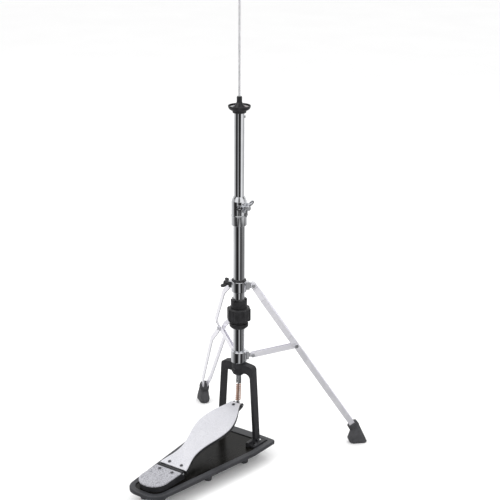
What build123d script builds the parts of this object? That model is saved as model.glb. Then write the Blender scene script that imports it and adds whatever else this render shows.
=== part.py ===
"""Two-legged hi-hat stand: pedal, pull rod, telescopic tube and folding legs.

Millimetres. +X is the player's right, +Y points away from the player, +Z up.
The origin is on the floor, under the axis of the tube.
"""
from build123d import *
from math import asin, atan2, cos, degrees, hypot, pi, radians, sin, sqrt, tan
import os

os.makedirs("parts", exist_ok=True)

# ---------------------------------------------------------------- driving sizes
fit_gap = 0.3             # between pieces that move past each other
seat_gap = 0.05           # between a pin and the hole it turns in

# base
base_top_z = 41.0
base_thickness = 9.0
base_rear_y = 32.0
base_rear_bow = 4.0
base_parallel_length = 90.0
base_heel_width = 100.0    # at the heel end, before the corners are rounded
heel_corner_radius = 40.0
heel_margin = 18.0        # base left in front of the heel plate
rim_width = 14.0
rear_rim_width = 12.0
rear_step_width = 13.0    # the rim between the yoke's feet is this much wider
recess_depth = 3.0
panel_thickness = 1.0
foot_top_radius = 14.0
foot_sole_radius = 9.0

# yoke
yoke_height = 208.0       # from the base's panel to the crown
yoke_depth = 20.0
yoke_crown_width = 97.0
yoke_foot_width = 122.0
yoke_leg_thickness = 8.5
yoke_beam_height = 25.0
yoke_flange_width = 17.0
yoke_flange_thickness = 5.0
yoke_boss_wall = 4.2
yoke_neck_length = 8.0    # below the tube, where the rod is guided

# tubes and rods
lower_tube_od = 28.6
lower_tube_length = 428.0
upper_tube_od = 25.4
tube_wall = 1.15
upper_tube_engaged = 96.0
upper_tube_reach = 249.0  # from the lower tube's top end to its own
rod_d = 6.0
running_rod_d = 5.6       # below its plain top end the rod is ground to this
rod_stroke_margin = 98.0  # ground this far above the seat's hub
rod_guide_radius = 7.0
rod_above_hub = 230.0

# pedal
hinge_above_base = 13.0
footboard_angle = 16.58
footboard_length = 266.0
footboard_plate = 2.5
footboard_skirt = 8.0
footboard_travel = 7.5    # degrees
toe_pivot_y = -3.8
toe_pivot_below_top = 11.0
hinge_pin_d = 6.0
heel_plate_length = 90.0
heel_plate_width = 77.0
heel_plate_slope = 3.5
socket_above_link = 17.4   # from the link's upper pin to the top of the rod's socket
heel_corner = 36.0

# tension adjuster
adjuster_above_collar = 63.0
adjuster_base_height = 13.0
adjuster_neck_height = 6.0
ring_height = 35.0
ring_radius = 28.0
sleeve_height = 23.0
sleeve_radius = 20.5

# legs
right_leg_azimuth = 44.5
left_leg_azimuth = 145.1
leg_pivot_reach = 21.3     # from the tube's surface to the leg's pivot
leg_upper_length = 202.3
foot_top_r = 299.0
foot_top_z = 56.0
strap_width = 15.0
strap_thickness = 3.0
strap_pinch = 5.0         # half the gap between the straps where they come together
upper_lens = 19.5         # half the gap between them where they stand apart
lower_lens = 16.0
lower_lens_end = 9.5
strut_pivot_reach = 21.7
strut_width = 9.0
strut_height = 14.5
strut_wall = 1.6
pivot_d = 6.0
lower_collar_height = 30.0
upper_collar_height = 32.0
collars_apart = 160.0
collar_wall = 6.2

# clamp and seat
clamp_sleeve_height = 23.0
clamp_body_height = 34.0
clamp_dome_height = 13.0
clamp_wall = 4.9
seat_radius = 27.5
hub_radius = 6.5

# ---------------------------------------------------------------- derived places
panel_z = base_top_z - recess_depth
floor_of_pieces = panel_z + panel_thickness
yoke_top_z = floor_of_pieces + yoke_height + fit_gap
tube_socket_depth = 27.0
tube_bottom_z = yoke_top_z - tube_socket_depth
boss_bottom_z = tube_bottom_z - yoke_neck_length
yoke_boss_radius = lower_tube_od / 2 + yoke_boss_wall
tube_top_z = tube_bottom_z + lower_tube_length
lower_collar_z = yoke_top_z + fit_gap
lower_collar_top = lower_collar_z + lower_collar_height
upper_collar_z = lower_collar_top + collars_apart
leg_pivot_z = upper_collar_z + 15.0
strut_pivot_z = lower_collar_z + 16.5
leg_pivot_r = lower_tube_od / 2 + leg_pivot_reach
strut_pivot_r = lower_tube_od / 2 + strut_pivot_reach
collar_radius = lower_tube_od / 2 + collar_wall
leg_run = foot_top_r - leg_pivot_r
leg_drop = leg_pivot_z - foot_top_z
leg_length = hypot(leg_run, leg_drop)
leg_lean = degrees(atan2(leg_run, leg_drop))       # from the vertical
leg_joint_r = leg_pivot_r + leg_upper_length * sin(radians(leg_lean))
leg_joint_z = leg_pivot_z - leg_upper_length * cos(radians(leg_lean))
strut_length = hypot(leg_joint_r - strut_pivot_r, leg_joint_z - strut_pivot_z)
strut_rise = degrees(atan2(leg_joint_z - strut_pivot_z, leg_joint_r - strut_pivot_r))

hinge_z = base_top_z + hinge_above_base
slope = radians(footboard_angle)
hinge_to_board = 2.5                               # hinge axis to the board's underside
board_top_offset = hinge_to_board + footboard_plate
board_start = 10.0                                  # hinge axis to the board's rear edge
board_end = board_start + footboard_length
toe_arm = board_end + 6.0
hinge_y = toe_pivot_y - toe_arm * cos(slope) + (board_top_offset - toe_pivot_below_top) * sin(slope)
toe_pivot_z = hinge_z + toe_arm * sin(slope) + (board_top_offset - toe_pivot_below_top) * cos(slope)
link_top_z = boss_bottom_z - fit_gap - socket_above_link
link_length = hypot(toe_pivot_y, link_top_z - toe_pivot_z)
board_plane = Plane(
    origin=(0, hinge_y, hinge_z),
    x_dir=(1, 0, 0),
    z_dir=(0, -sin(slope), cos(slope)),
)                                                   # local Y runs up the footboard

heel_rear_y = hinge_y - 8.0
heel_front_y = heel_rear_y - heel_plate_length
base_front_y = heel_front_y - heel_margin
kink_y = base_rear_y - base_parallel_length
flange_margin = 2.5                                # between the yoke's flange and the rim
base_half_width = yoke_foot_width / 2 + yoke_flange_width + flange_margin + rim_width
base_taper = (base_half_width - base_heel_width / 2) / (kink_y - base_front_y)
base_bottom_z = base_top_z - base_thickness

upper_tube_top_z = tube_top_z + upper_tube_reach
bowl_bottom_z = upper_tube_top_z + 2.0
rim_z = bowl_bottom_z + 12.0
floor_z = rim_z - 5.5
cone_top_z = rim_z + 10.0
hub_top_z = rim_z + 22.0
rod_top_z = hub_top_z + rod_above_hub


def half_width(y):
    """Half width of the base where its sides taper towards the heel."""
    return base_half_width - base_taper * max(0.0, kink_y - y)


def save(piece, label):
    piece.part.label = label
    export_step(piece.part, f"parts/{label}.step")


def radial(azimuth, r, z=0.0):
    """Point at a radius from the tube's axis."""
    return (r * cos(radians(azimuth)), r * sin(radians(azimuth)), z)


def tube(outer_radius, inner_radius, low, high):
    """Plain sleeve about the tube's axis."""
    with BuildPart() as sleeve:
        with BuildSketch(Plane.XY.offset(low)):
            Circle(outer_radius)
            Circle(inner_radius, mode=Mode.SUBTRACT)
        extrude(amount=high - low)
    return sleeve


def helix_spring(mean_radius, wire, low, high, turns):
    """Round-wire coil about the tube's axis, with its ends inside low and high."""
    height = high - low - wire
    pitch = height / turns
    with BuildPart() as coil:
        with BuildLine(Plane.XY.offset(low + wire / 2)) as path:
            Helix(pitch=pitch, height=height, radius=mean_radius)
        with BuildSketch(Plane(origin=path.line @ 0, z_dir=path.line % 0)):
            Circle(wire / 2)
        sweep(path=path.line, is_frenet=True)
    return coil


# ---------------------------------------------------------------- base
with BuildSketch() as base_outline:
    with BuildLine():
        RadiusArc(
            (-base_half_width, base_rear_y),
            (base_half_width, base_rear_y),
            (base_half_width**2 + base_rear_bow**2) / (2 * base_rear_bow),
        )
        Polyline(
            (base_half_width, base_rear_y),
            (base_half_width, kink_y),
            (half_width(base_front_y), base_front_y),
            (-half_width(base_front_y), base_front_y),
            (-base_half_width, kink_y),
            (-base_half_width, base_rear_y),
        )
    make_face()
    corners = base_outline.vertices().group_by(Axis.Y)
    fillet(corners[0], heel_corner_radius)
    fillet(base_outline.vertices().group_by(Axis.Y)[-1], 7)

with BuildSketch() as recess_outline:
    add(base_outline.sketch)
    offset(amount=-rim_width, mode=Mode.REPLACE)
    with Locations((0, base_rear_y - rear_rim_width)):
        Rectangle(4 * base_half_width, 4 * footboard_length, align=(Align.CENTER, Align.MAX),
                  mode=Mode.INTERSECT)
    with Locations((0, base_rear_y - rear_rim_width)):
        Rectangle(yoke_foot_width - 2 * yoke_leg_thickness - 12, 2 * rear_step_width,
                  mode=Mode.SUBTRACT)

foot_rows = [(-52.0, 38.0), (base_front_y / 2 + 15.0, 38.0), (base_front_y + 46.0, 30.0)]
foot_places = [
    (side * (half_width(y) - inset), y) for y, inset in foot_rows for side in (-1, 1)
]
flange_out = yoke_foot_width / 2 + yoke_flange_width
yoke_bolt_places = [
    (side * (flange_out - inset), y)
    for side in (-1, 1)
    for inset, y in ((11.0, -3.0), (6.0, -27.0))
]
heel_bolt_places = [(-24.0, heel_rear_y - 24.0), (24.0, heel_rear_y - 24.0)]

with BuildPart() as base_plate:
    with BuildSketch(Plane.XY.offset(base_bottom_z)):
        add(base_outline.sketch)
    extrude(amount=base_thickness)
    fillet(base_plate.faces().sort_by(Axis.Z)[-1].edges(), 2.5)
    with BuildSketch(Plane.XY.offset(panel_z)):
        add(recess_outline.sketch)
    extrude(amount=recess_depth, mode=Mode.SUBTRACT)
    with BuildSketch(Plane.XY.offset(base_bottom_z)):
        with Locations(*yoke_bolt_places, *heel_bolt_places):
            Circle(2.6)
    extrude(amount=base_thickness, mode=Mode.SUBTRACT)
    with BuildSketch(Plane.XY.offset(base_bottom_z)):
        with Locations(*foot_places):
            Circle(2.2)
    extrude(amount=5, mode=Mode.SUBTRACT)
save(base_plate, "base_plate")

with BuildPart() as base_panel:
    with BuildSketch(Plane.XY.offset(panel_z)):
        add(recess_outline.sketch)
        offset(amount=-0.5, mode=Mode.REPLACE)
        with Locations(*yoke_bolt_places, *heel_bolt_places):
            Circle(2.6, mode=Mode.SUBTRACT)
    extrude(amount=panel_thickness)
save(base_panel, "base_panel")

foot_screw_head = 5.0
with BuildPart() as base_feet:
    with Locations(*[(x, y, base_bottom_z / 2) for x, y in foot_places]):
        Cone(foot_sole_radius, foot_top_radius, base_bottom_z)
    fillet(base_feet.edges().filter_by(GeomType.CIRCLE).group_by(Axis.Z)[0], 2.5)
    with BuildSketch():
        with Locations(*foot_places):
            Circle(foot_screw_head)
    extrude(amount=base_bottom_z - 8, mode=Mode.SUBTRACT)
    with BuildSketch():
        with Locations(*foot_places):
            Circle(2.2)
    extrude(amount=base_bottom_z, mode=Mode.SUBTRACT)
save(base_feet, "base_feet")

with BuildPart() as foot_screws:
    with BuildSketch(Plane.XY.offset(base_bottom_z - 8)):
        with Locations(*foot_places):
            Circle(2.1)
    extrude(amount=8 + 4.5)
    with BuildSketch(Plane.XY.offset(base_bottom_z - 8 - 3)):
        with Locations(*foot_places):
            Circle(foot_screw_head - 0.4)
            RegularPolygon(1.6, 6, mode=Mode.SUBTRACT)
    extrude(amount=3)
save(foot_screws, "foot_screws")

# ---------------------------------------------------------------- yoke
crown_x = yoke_crown_width / 2
foot_x = yoke_foot_width / 2
arch_z = yoke_top_z - yoke_beam_height
lean_per_mm = (foot_x - crown_x) / (arch_z - floor_of_pieces)

with BuildPart() as yoke:
    with BuildSketch(Plane.XZ) as yoke_profile:
        with BuildLine():
            Polyline(
                (0, yoke_top_z),
                (crown_x - 12, yoke_top_z - 3),
                (crown_x, yoke_top_z - 6),
                (foot_x, floor_of_pieces),
                (foot_x - yoke_leg_thickness, floor_of_pieces),
                (crown_x - yoke_leg_thickness + lean_per_mm * 12, arch_z),
                (0, arch_z),
                close=True,
            )
        make_face()
        fillet(yoke_profile.vertices().sort_by_distance((crown_x, yoke_top_z - 6))[0], 10)
        inner = (crown_x - yoke_leg_thickness + lean_per_mm * 12, arch_z)
        fillet(yoke_profile.vertices().sort_by_distance(inner)[0], 13)
        mirror(about=Plane.YZ)
    extrude(amount=yoke_depth / 2, both=True)
    for side in (-1, 1):
        with BuildSketch(Plane.XY.offset(floor_of_pieces)):
            with Locations((side * (foot_x - yoke_leg_thickness / 2), -42.0)):
                Rectangle(yoke_leg_thickness, 42.0, align=(Align.CENTER, Align.MIN))
        extrude(amount=12.0)
        with BuildSketch(Plane.XY.offset(floor_of_pieces)):
            with Locations((side * (foot_x - 1.0), -38.0)):
                Rectangle(yoke_flange_width + 1.0, 52.0,
                          align=(Align.MIN if side > 0 else Align.MAX, Align.MIN))
        extrude(amount=yoke_flange_thickness)
    chamfer(yoke.edges().filter_by(Axis.Z).group_by(Axis.Y)[0], 2.0)
    with BuildSketch(Plane.XY.offset(arch_z - 0.5)):
        Circle(yoke_boss_radius)
    extrude(amount=yoke_beam_height + 0.5)
    with BuildSketch(Plane.XY.offset(arch_z)):
        Circle(yoke_boss_radius - 1.5)
    extrude(amount=-6.5, taper=14)
    with BuildSketch(Plane.XY.offset(boss_bottom_z)):
        Circle(rod_guide_radius + 3.5)
    extrude(amount=arch_z - boss_bottom_z)
    with BuildSketch(Plane.XY.offset(tube_bottom_z)):
        Circle(lower_tube_od / 2)
    extrude(amount=yoke_top_z, mode=Mode.SUBTRACT)
    with BuildSketch(Plane.XY.offset(boss_bottom_z)):
        Circle(rod_guide_radius)
    extrude(amount=yoke_height, mode=Mode.SUBTRACT)
    with BuildSketch(Plane.XY.offset(floor_of_pieces)):
        with Locations(*yoke_bolt_places):
            Circle(2.6)
    extrude(amount=yoke_flange_thickness, mode=Mode.SUBTRACT)
    with BuildSketch(Plane.XZ):
        with Locations((0, tube_bottom_z + 12)):
            Circle(3.0)
    extrude(amount=yoke_boss_radius + 1, mode=Mode.SUBTRACT)
save(yoke, "yoke")

with BuildPart() as yoke_bolts:
    with BuildSketch(Plane.XY.offset(base_bottom_z)):
        with Locations(*yoke_bolt_places):
            Circle(2.55)
    extrude(amount=floor_of_pieces + yoke_flange_thickness - base_bottom_z)
    with BuildSketch(Plane.XY.offset(floor_of_pieces + yoke_flange_thickness)):
        with Locations(*yoke_bolt_places):
            Circle(5.0)
            RegularPolygon(2.2, 6, mode=Mode.SUBTRACT)
    extrude(amount=4.5)
save(yoke_bolts, "yoke_bolts")

with BuildPart() as tube_set_screw:
    with BuildSketch(Plane.XZ.offset(lower_tube_od / 2)):
        with Locations((0, tube_bottom_z + 12)):
            Circle(2.95)
            RegularPolygon(1.6, 6, mode=Mode.SUBTRACT)
    extrude(amount=yoke_boss_radius - lower_tube_od / 2 + 0.6)
save(tube_set_screw, "tube_set_screw")

rod_guide = tube(rod_guide_radius, running_rod_d / 2 + seat_gap, boss_bottom_z, tube_bottom_z)
save(rod_guide, "rod_guide")

# ---------------------------------------------------------------- lower tube
adjuster_z = lower_collar_top + adjuster_above_collar
neck_z = adjuster_z + adjuster_base_height
ring_z = neck_z + adjuster_neck_height
sleeve_z = ring_z + ring_height
seat_pin_z = ring_z + 13.0
seat_travel = 3.0
slot_half_width = 2.5 + fit_gap

with BuildPart() as lower_tube:
    with BuildSketch(Plane.XY.offset(tube_bottom_z)):
        Circle(lower_tube_od / 2)
        Circle(lower_tube_od / 2 - tube_wall, mode=Mode.SUBTRACT)
    extrude(amount=lower_tube_length)
    with BuildSketch(Plane.YZ):
        with Locations((0, seat_pin_z - seat_travel / 2)):
            SlotCenterToCenter(seat_travel, 2 * slot_half_width, rotation=90)
    extrude(amount=lower_tube_od, both=True, mode=Mode.SUBTRACT)
save(lower_tube, "lower_tube")

# ---------------------------------------------------------------- tension adjuster
tube_fit = lower_tube_od / 2 + 0.02
with BuildPart() as adjuster_base:
    with BuildSketch(Plane.XY.offset(adjuster_z)):
        Circle(24.0)
        Circle(tube_fit, mode=Mode.SUBTRACT)
    extrude(amount=adjuster_base_height)
    chamfer(adjuster_base.faces().sort_by(Axis.Z)[0].outer_wire().edges(), 5)
    fillet(adjuster_base.faces().sort_by(Axis.Z)[-1].outer_wire().edges(), 1.5)
    with BuildSketch(Plane.XY.offset(neck_z)):
        Circle(19.5)
        Circle(tube_fit, mode=Mode.SUBTRACT)
    extrude(amount=adjuster_neck_height - fit_gap)
save(adjuster_base, "adjuster_base")

with BuildPart() as adjuster_sleeve:
    with BuildSketch(Plane.XY.offset(sleeve_z + fit_gap)):
        Circle(sleeve_radius)
        Circle(tube_fit, mode=Mode.SUBTRACT)
    extrude(amount=sleeve_height - fit_gap)
    with BuildSketch(Plane.XY.offset(sleeve_z + sleeve_height - 5)):
        with PolarLocations(0, 4, start_angle=18):
            Rectangle(2.2 * sleeve_radius, 11.0, align=(Align.MIN, Align.CENTER))
        Circle(lower_tube_od / 2 + 1.2, mode=Mode.SUBTRACT)
    extrude(amount=6, mode=Mode.SUBTRACT)
save(adjuster_sleeve, "adjuster_sleeve")

cavity_radius = 20.0
cavity_low = ring_z + 4.0
cavity_high = ring_z + ring_height - 4.0
with BuildPart() as tension_ring:
    with BuildSketch(Plane.XY.offset(ring_z)) as ring_profile:
        Circle(ring_radius)
        with PolarLocations(ring_radius - 2.5, 8, start_angle=22.5):
            Circle(5.0)
        Circle(lower_tube_od / 2 + fit_gap, mode=Mode.SUBTRACT)
    extrude(amount=ring_height)
    chamfer(tension_ring.faces().sort_by(Axis.Z)[-1].outer_wire().edges(), 3.0)
    chamfer(tension_ring.faces().sort_by(Axis.Z)[0].outer_wire().edges(), 3.0)
    with BuildSketch(Plane.XY.offset(cavity_low)):
        Circle(cavity_radius)
    extrude(amount=cavity_high - cavity_low, mode=Mode.SUBTRACT)
save(tension_ring, "tension_ring")

with BuildPart() as adjuster_nut:
    with BuildSketch(Plane.XY.offset(seat_pin_z - 5)):
        Circle(cavity_radius - fit_gap)
        Circle(lower_tube_od / 2 + fit_gap, mode=Mode.SUBTRACT)
    extrude(amount=10)
    with BuildSketch(Plane.YZ):
        with Locations((0, seat_pin_z)):
            Circle(2.5)
    extrude(amount=cavity_radius, both=True, mode=Mode.SUBTRACT)
save(adjuster_nut, "adjuster_nut")

inside_tube = lower_tube_od / 2 - tube_wall - fit_gap
with BuildPart() as spring_seat:
    with BuildSketch(Plane.XY.offset(seat_pin_z - 5)):
        Circle(inside_tube)
        Circle(rod_d / 2 + 0.6, mode=Mode.SUBTRACT)
    extrude(amount=10)
    with BuildSketch(Plane.YZ):
        with Locations((0, seat_pin_z)):
            Circle(2.5)
    extrude(amount=cavity_radius, both=True, mode=Mode.SUBTRACT)
save(spring_seat, "spring_seat")

with BuildPart() as seat_pins:
    for side in (-1, 1):
        with BuildSketch(Plane.YZ.offset(side * 5.0)):
            with Locations((0, seat_pin_z)):
                Circle(2.5)
        extrude(amount=side * (cavity_radius - 5.6))
save(seat_pins, "seat_pins")

# ---------------------------------------------------------------- pull rod
spring_low = seat_pin_z + 5
return_spring_length = 74.0
spring_high = spring_low + return_spring_length
return_spring = helix_spring(8.6, 2.2, spring_low + 0.05, spring_high - 0.05, 9)
save(return_spring, "return_spring")

with BuildPart() as spring_cap:
    with BuildSketch(Plane.XY.offset(spring_high)):
        Circle(inside_tube - 1.2)
        Circle(running_rod_d / 2, mode=Mode.SUBTRACT)
    extrude(amount=6)
save(spring_cap, "spring_cap")

socket_bottom_z = link_top_z - 6.0
socket_top_z = boss_bottom_z - fit_gap
link_top_eye = 5.2
link_slot = 4.4
with BuildPart() as rod_socket:
    with BuildSketch(Plane.XY.offset(socket_bottom_z)):
        Circle(6.9)
    extrude(amount=socket_top_z - socket_bottom_z)
    chamfer(rod_socket.faces().sort_by(Axis.Z)[-1].edges(), 1.0)
    with BuildSketch(Plane.XY.offset(socket_bottom_z)):
        Rectangle(link_slot + 2 * fit_gap, 20)
    extrude(amount=6.0 + link_top_eye + 1.5, mode=Mode.SUBTRACT)
    with BuildSketch(Plane.YZ):
        with Locations((0, link_top_z)):
            Circle(2.0)
    extrude(amount=10, both=True, mode=Mode.SUBTRACT)
    with BuildSketch(Plane.XY.offset(link_top_z + 9)):
        Circle(running_rod_d / 2)
    extrude(amount=yoke_height, mode=Mode.SUBTRACT)
    with BuildSketch(Plane.XZ.offset(running_rod_d / 2)):
        with Locations((0, socket_top_z - 4)):
            Circle(2.0)
    extrude(amount=8, mode=Mode.SUBTRACT)
save(rod_socket, "rod_socket")

with BuildPart() as socket_screw:
    with BuildSketch(Plane.XZ.offset(running_rod_d / 2)):
        with Locations((0, socket_top_z - 4)):
            Circle(1.97)
            RegularPolygon(1.1, 6, mode=Mode.SUBTRACT)
    extrude(amount=6.9 - running_rod_d / 2 + 0.5)
save(socket_screw, "socket_screw")

with BuildPart() as link_pin:
    with BuildSketch(Plane.YZ.offset(-6.6)):
        with Locations((0, link_top_z)):
            Circle(1.99)
    extrude(amount=13.2)
save(link_pin, "link_pin")

rod_split_z = spring_high + 6 + 14.0
with BuildPart() as lower_pull_rod:
    with BuildSketch(Plane.XY.offset(link_top_z + 9)):
        Circle(running_rod_d / 2)
    extrude(amount=rod_split_z - link_top_z - 9)
save(lower_pull_rod, "lower_pull_rod")

with BuildPart() as cymbal_rod:
    with BuildSketch(Plane.XY.offset(rod_split_z)):
        Circle(rod_d / 2)
    extrude(amount=rod_top_z - rod_split_z)
    chamfer(cymbal_rod.faces().sort_by(Axis.Z)[-1].edges(), 0.8)
    with BuildSketch(Plane.XY.offset(rod_split_z)):
        Circle(rod_d)
        Circle(running_rod_d / 2, mode=Mode.SUBTRACT)
    extrude(amount=hub_top_z + rod_stroke_margin - rod_split_z, mode=Mode.SUBTRACT)
save(cymbal_rod, "cymbal_rod")

with BuildPart() as rod_coupler:
    with BuildSketch(Plane.XY.offset(rod_split_z - 13)):
        RegularPolygon(6.0, 6)
        Circle(running_rod_d / 2, mode=Mode.SUBTRACT)
    extrude(amount=26)
save(rod_coupler, "rod_coupler")

# ---------------------------------------------------------------- spring link
link_plane = Plane(
    origin=(0, toe_pivot_y, toe_pivot_z),
    x_dir=(1, 0, 0),
    z_dir=(0, -toe_pivot_y / link_length, (link_top_z - toe_pivot_z) / link_length),
)                                                   # local Z runs up the link
toe_pin_d = 5.0
toe_pin_play = 1.0
link_eye_radius = 5.5
link_side = Plane(origin=link_plane.origin, x_dir=link_plane.y_dir, z_dir=(1, 0, 0))
with BuildPart() as link_rod:
    with BuildSketch(link_side):
        Circle(link_eye_radius)
        with Locations((0, link_eye_radius)):
            Rectangle(6.0, 7.0)
        Circle(toe_pin_d / 2 + toe_pin_play, mode=Mode.SUBTRACT)
    extrude(amount=3.5, both=True)
    with BuildSketch(link_plane.offset(6.5)):
        Circle(2.4)
    extrude(amount=link_length - 6.5 - link_top_eye + 1.5)
    with BuildSketch(link_side):
        with Locations((0, link_length)):
            Circle(link_top_eye)
            Circle(2.0 + seat_gap, mode=Mode.SUBTRACT)
    extrude(amount=link_slot / 2, both=True)
save(link_rod, "link_rod")

coil_radius = 6.0
coil_wire = 2.3
coil_pitch = 5.2
coil_low = 10.2
coil_high = link_length - 6.0 - 1.4
coil_height = coil_high - coil_low - coil_wire
with BuildPart() as link_spring:
    with BuildLine() as coil_path:
        Helix(
            pitch=coil_height / max(1, round(coil_height / coil_pitch)),
            height=coil_height,
            radius=coil_radius,
            center=link_plane.from_local_coords((0, 0, coil_low + coil_wire / 2)),
            direction=link_plane.z_dir,
        )
    with BuildSketch(Plane(origin=coil_path.line @ 0, z_dir=coil_path.line % 0)):
        Circle(coil_wire / 2)
    sweep(path=coil_path.line, is_frenet=True)
save(link_spring, "link_spring")

# ---------------------------------------------------------------- footboard
board_half = [(0.0, 40.5), (16.0, 36.5), (44.0, 28.0), (70.0, 26.0), (104.0, 32.5),
              (140.0, 43.5), (176.0, 47.5), (208.0, 40.5), (234.0, 29.0), (252.0, 19.5)]
board_scale = footboard_length / 266.0
toe_half = 14.5



def board_edge(inset):
    """Outline of the footboard in its own plane, drawn this far inside its edge."""
    right = [(w - inset, board_start + along * board_scale) for along, w in board_half]
    right[0] = (right[0][0], board_start + inset)
    toe = (toe_half - inset, board_end - inset)
    left = [(-x, y) for x, y in reversed(right)]
    with BuildLine() as edge:
        Spline(*right, toe)
        Line(toe, (-toe[0], toe[1]))
        Spline((-toe[0], toe[1]), *left)
        Line(left[-1], right[0])
    return edge.line


board_screw_places = [(-18.5, board_start + 10.0), (18.5, board_start + 10.0), (0.0, board_end - 10.0)]
board_top = board_plane.offset(board_top_offset)
with BuildPart() as footboard_plate_piece:
    with BuildSketch(board_plane.offset(hinge_to_board)):
        add(board_edge(0.0))
        make_face()
    extrude(amount=footboard_plate)
    with BuildSketch(board_top):
        with Locations(*board_screw_places):
            Circle(2.1)
    extrude(amount=-footboard_plate, mode=Mode.SUBTRACT)
save(footboard_plate_piece, "footboard_plate")

barrel_half = 26.0
skirt_low = hinge_to_board - footboard_skirt
with BuildPart() as footboard_frame:
    with BuildSketch(board_plane.offset(skirt_low)):
        add(board_edge(0.4))
        make_face()
    extrude(amount=footboard_skirt)
    with BuildSketch(board_plane.offset(skirt_low)):
        add(board_edge(5.0))
        make_face()
        Rectangle(4.0, 3 * footboard_length, mode=Mode.SUBTRACT)
        with Locations((0, board_start + 60), (0, board_start + 130), (0, board_start + 200)):
            Rectangle(4 * barrel_half, 4.0, mode=Mode.SUBTRACT)
    extrude(amount=footboard_skirt - 2.0, mode=Mode.SUBTRACT)
    with BuildSketch(Plane(origin=(0, hinge_y, hinge_z), x_dir=(0, 1, 0), z_dir=(1, 0, 0))) as barrel:
        Circle(7.0)
        with Locations((0, 0)):
            Rectangle(board_start + 3, 2 * hinge_to_board, rotation=footboard_angle,
                      align=(Align.MIN, Align.CENTER))
    extrude(amount=barrel_half, both=True)
    with BuildSketch(Plane(origin=(0, hinge_y, hinge_z), x_dir=(0, 1, 0), z_dir=(1, 0, 0))):
        Circle(hinge_pin_d / 2 + seat_gap)
    extrude(amount=barrel_half + 1, both=True, mode=Mode.SUBTRACT)
    with BuildSketch(board_plane.offset(skirt_low)):
        with Locations(*board_screw_places):
            Circle(2.1)
    extrude(amount=footboard_skirt, mode=Mode.SUBTRACT)
save(footboard_frame, "footboard_frame")

with BuildPart() as footboard_screws:
    with BuildSketch(board_top):
        with Locations(*board_screw_places):
            Circle(4.0)
            Rectangle(5.0, 1.0, mode=Mode.SUBTRACT)
            Rectangle(1.0, 5.0, mode=Mode.SUBTRACT)
    extrude(amount=1.4)
    with BuildSketch(board_top):
        with Locations(*board_screw_places):
            Circle(2.05)
    extrude(amount=-footboard_plate - footboard_skirt)
save(footboard_screws, "footboard_screws")

toe_local_z = board_top_offset - toe_pivot_below_top
bracket_plate = 3.0
bracket_outer = toe_half
ear_radius = 6.0
board_side = Plane(origin=board_plane.origin, x_dir=board_plane.y_dir, z_dir=(1, 0, 0))
with BuildPart() as toe_bracket:
    with BuildSketch(board_plane.offset(skirt_low - bracket_plate)):
        with Locations((0, board_end - 4)):
            Rectangle(2 * bracket_outer, 26, align=(Align.CENTER, Align.MAX))
    extrude(amount=bracket_plate)
    for side in (-1, 1):
        with BuildSketch(board_side.offset(side * bracket_outer)):
            with Locations((toe_arm, toe_local_z)):
                Circle(ear_radius)
            with BuildLine():
                Polyline(
                    (board_end - 30, skirt_low),
                    (board_end + 1, skirt_low),
                    (toe_arm, toe_local_z + ear_radius),
                    (toe_arm, toe_local_z - ear_radius),
                    (board_end - 22, skirt_low - 8),
                    close=True,
                )
            make_face()
            with Locations((toe_arm, toe_local_z)):
                Circle(toe_pin_d / 2, mode=Mode.SUBTRACT)
        extrude(amount=-side * bracket_plate)
    with BuildSketch(board_plane.offset(skirt_low - bracket_plate)):
        with Locations(board_screw_places[2]):
            Circle(2.1)
    extrude(amount=bracket_plate, mode=Mode.SUBTRACT)
save(toe_bracket, "toe_bracket")

with BuildPart() as toe_pin:
    with BuildSketch(board_side.offset(-bracket_outer - 1.5)):
        with Locations((toe_arm, toe_local_z)):
            Circle(toe_pin_d / 2)
    extrude(amount=2 * bracket_outer + 3)
    for side in (-1, 1):
        with BuildSketch(board_side.offset(side * (3.5 + fit_gap))):
            with Locations((toe_arm, toe_local_z)):
                Circle(4.6)
        extrude(amount=side * (bracket_outer - bracket_plate - 3.5 - fit_gap))
save(toe_pin, "toe_pin")

# ---------------------------------------------------------------- heel
heel_top_z = hinge_z + board_start * sin(slope) + board_top_offset * cos(slope)
heel_plate_thickness = 3.0
heel_tilt = radians(heel_plate_slope)
heel_plane = Plane(
    origin=(0, heel_rear_y, heel_top_z - heel_plate_thickness),
    x_dir=(1, 0, 0),
    z_dir=(0, -sin(heel_tilt), cos(heel_tilt)),
)
heel_screw_places = [(-19.0, -11.0), (19.0, -11.0)]
with BuildPart() as heel_plate:
    with BuildSketch(heel_plane) as heel_outline:
        Rectangle(heel_plate_width, heel_plate_length, align=(Align.CENTER, Align.MAX))
        fillet(heel_outline.vertices().group_by(Axis.Y)[0], heel_corner)
    extrude(amount=heel_plate_thickness)
    fillet(heel_plate.faces().sort_by(Axis.Z)[-1].edges(), 0.9)
    with BuildSketch(heel_plane):
        with Locations(*heel_screw_places):
            Circle(2.1)
    extrude(amount=heel_plate_thickness + 1, mode=Mode.SUBTRACT)
save(heel_plate, "heel_plate")

with BuildPart() as heel_screws:
    with BuildSketch(heel_plane.offset(heel_plate_thickness)):
        with Locations(*heel_screw_places):
            Circle(4.0)
            Rectangle(5.0, 1.0, mode=Mode.SUBTRACT)
            Rectangle(1.0, 5.0, mode=Mode.SUBTRACT)
    extrude(amount=1.4)
    with BuildSketch(heel_plane.offset(heel_plate_thickness)):
        with Locations(*heel_screw_places):
            Circle(2.05)
    extrude(amount=-heel_plate_thickness - 9)
save(heel_screws, "heel_screws")

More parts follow.
